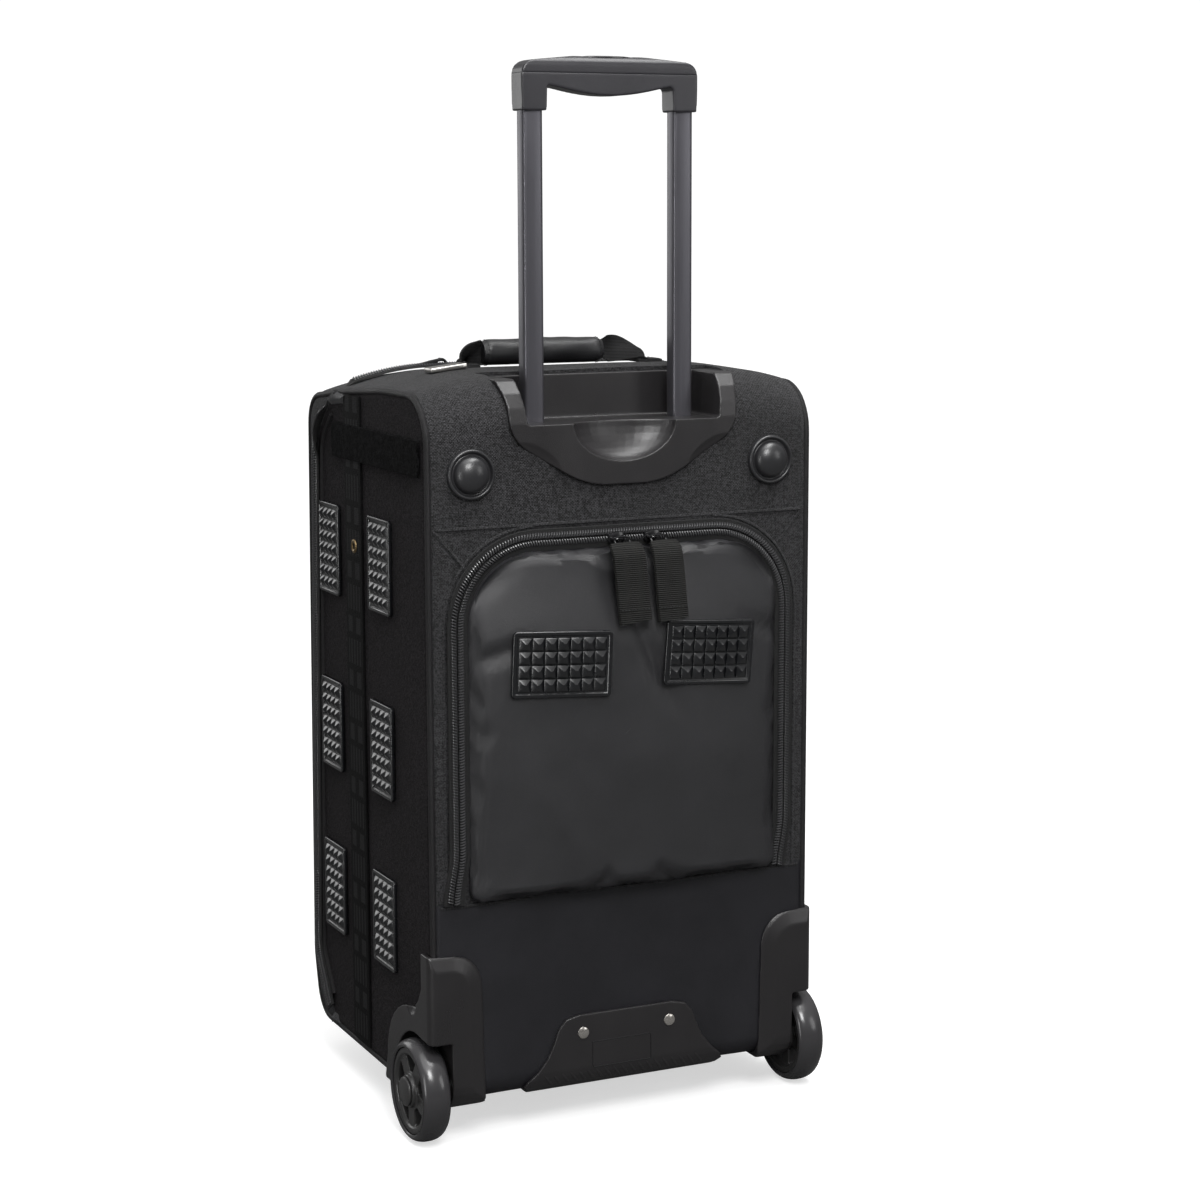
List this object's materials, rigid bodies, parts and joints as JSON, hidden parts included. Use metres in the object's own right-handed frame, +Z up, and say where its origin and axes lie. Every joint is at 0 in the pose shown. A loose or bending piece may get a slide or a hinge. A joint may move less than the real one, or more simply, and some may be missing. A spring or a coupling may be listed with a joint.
{
  "type": "two-wheeled upright trolley bag",
  "caption": "Upright soft trolley bag with a telescopic handle, moulded corner wheels, zip-round front lid, zipped rear pocket, rubber bumper pads and a padded carry handle.",
  "frame": {"origin": "centre of the bounding box's bottom face, where the wheels and feet stand", "axes": "+Z up; +Y towards the back, where the wheels, handle and rear pocket are; -Y towards the front lid; X across the bag"},
  "size_m": [0.3702, 0.318, 0.8624],
  "materials": {
    "weave_fabric": "black woven polyester over thin foam",
    "coated_fabric": "charcoal coated fabric with a soft sheen",
    "webbing": "black ribbed nylon webbing",
    "board": "grey stiffening sheet",
    "plastic": "dark grey moulded plastic, fine grain",
    "gloss_plastic": "polished black plastic",
    "grip_plastic": "dark grey satin plastic",
    "tube_metal": "black anodised, satin",
    "pad_rubber": "black moulded rubber, semi-matte",
    "tyre": "glossy black polyurethane",
    "nickel": "nickel plated",
    "steel": "plain bright steel",
    "leather": "black smooth imitation leather"
  },
  "bodies": {
    "bag": {"bag_shell": "weave_fabric", "back_board": "board", "base_plate": "plastic", "base_rivet_left": "nickel", "base_rivet_right": "nickel", "corner_guard_left": "plastic", "corner_guard_right": "plastic", "dome_stud_left": "gloss_plastic", "dome_stud_right": "gloss_plastic", "front_foot_left": "plastic", "front_foot_right": "plastic", "lock_plate": "nickel", "outer_tube_left": "tube_metal", "outer_tube_right": "tube_metal", "tube_foot": "plastic", "trolley_cup": "plastic", "side_pad_left_1": "pad_rubber", "side_pad_left_2": "pad_rubber", "side_pad_left_3": "pad_rubber", "side_pad_left_4": "pad_rubber", "side_pad_left_5": "pad_rubber", "side_pad_left_6": "pad_rubber", "side_pad_right_1": "pad_rubber", "side_pad_right_2": "pad_rubber", "side_pad_right_3": "pad_rubber", "side_pad_right_4": "pad_rubber", "side_pad_right_5": "pad_rubber", "side_pad_right_6": "pad_rubber", "wheel_axle_left": "steel", "wheel_axle_right": "steel"},
    "trolley_handle": {"inner_tube_left": "tube_metal", "inner_tube_right": "tube_metal", "lock_carrier_left": "plastic", "lock_carrier_right": "plastic", "grip_lower": "grip_plastic", "grip_upper": "grip_plastic", "button_spring": "steel"},
    "release": {"release_button": "gloss_plastic", "release_yoke": "steel"},
    "wheel_left": {"tyre_left": "tyre", "wheel_hub_left": "gloss_plastic", "hub_cap_left": "plastic"},
    "wheel_right": {"tyre_right": "tyre", "wheel_hub_right": "gloss_plastic", "hub_cap_right": "plastic"},
    "carry_handle": {"handle_wrap": "leather", "handle_strap_left": "webbing", "handle_strap_right": "webbing"},
    "lid": {"front_lid": "weave_fabric"},
    "pocket": {"pocket_flap": "coated_fabric", "pocket_pad_left": "pad_rubber", "pocket_pad_right": "pad_rubber"},
    "pocket_slider_left": {"pocket_slider_left": "gloss_plastic"},
    "pocket_slider_right": {"pocket_slider_right": "gloss_plastic"},
    "pull_tab_left": {"pull_tab_left": "webbing"},
    "pull_tab_right": {"pull_tab_right": "webbing"},
    "main_slider_left": {"main_slider_left": "gloss_plastic"},
    "main_slider_right": {"main_slider_right": "gloss_plastic"},
    "main_pull_left": {"main_pull_left": "gloss_plastic"},
    "main_pull_right": {"main_pull_right": "gloss_plastic"}
  },
  "joints": [
    {"name": "trolley_slide", "type": "slide", "parent": "bag", "child": "trolley_handle", "axis": [0, 0, 1], "range_m": [-0.242, 0]},
    {"name": "button_press", "type": "slide", "parent": "trolley_handle", "child": "release", "axis": [0, 0, -1], "range_m": [0, 0.003], "stiffness_N_per_m": 1500, "springref_m": -0.001, "deforming": ["button_spring"]},
    {"name": "wheel_left_spin", "type": "hinge", "parent": "bag", "child": "wheel_left", "pos_m": [-0.1705, 0.103, 0.042], "axis": [1, 0, 0], "continuous": true},
    {"name": "wheel_right_spin", "type": "hinge", "parent": "bag", "child": "wheel_right", "pos_m": [0.1705, 0.103, 0.042], "axis": [1, 0, 0], "continuous": true},
    {"name": "carry_handle_tilt", "type": "hinge", "parent": "bag", "child": "carry_handle", "pos_m": [0, 0.0015, 0.6212], "axis": [1, 0, 0], "range_deg": [-20, 20]},
    {"name": "lid_hinge", "type": "hinge", "parent": "bag", "child": "lid", "pos_m": [0, -0.1055, 0.034], "axis": [1, 0, 0], "range_deg": [0, 70]},
    {"name": "pocket_hinge", "type": "hinge", "parent": "bag", "child": "pocket", "pos_m": [0, 0.1299, 0.198], "axis": [-1, 0, 0], "range_deg": [0, 85]},
    {"name": "pocket_slider_left_slide", "type": "slide", "parent": "pocket", "child": "pocket_slider_left", "axis": [-1, 0, 0], "range_m": [0, 0.05]},
    {"name": "pocket_slider_right_slide", "type": "slide", "parent": "pocket", "child": "pocket_slider_right", "axis": [1, 0, 0], "range_m": [0, 0.06]},
    {"name": "pull_tab_left_swing", "type": "hinge", "parent": "pocket_slider_left", "child": "pull_tab_left", "pos_m": [-0.0236, 0.1437, 0.485], "axis": [1, 0, 0], "range_deg": [0, 125]},
    {"name": "pull_tab_right_swing", "type": "hinge", "parent": "pocket_slider_right", "child": "pull_tab_right", "pos_m": [0.0106, 0.1437, 0.485], "axis": [1, 0, 0], "range_deg": [0, 125]},
    {"name": "main_slider_left_slide", "type": "slide", "parent": "bag", "child": "main_slider_left", "axis": [-1, 0, 0], "range_m": [0, 0.12]},
    {"name": "main_slider_right_slide", "type": "slide", "parent": "bag", "child": "main_slider_right", "axis": [1, 0, 0], "range_m": [0, 0.045]},
    {"name": "main_pull_left_swing", "type": "hinge", "parent": "main_slider_left", "child": "main_pull_left", "pos_m": [0.054, -0.065, 0.6203], "axis": [0, 1, 0], "range_deg": [0, 100]},
    {"name": "main_pull_right_swing", "type": "hinge", "parent": "main_slider_right", "child": "main_pull_right", "pos_m": [0.078, -0.065, 0.6203], "axis": [0, -1, 0], "range_deg": [0, 100]}
  ]
}
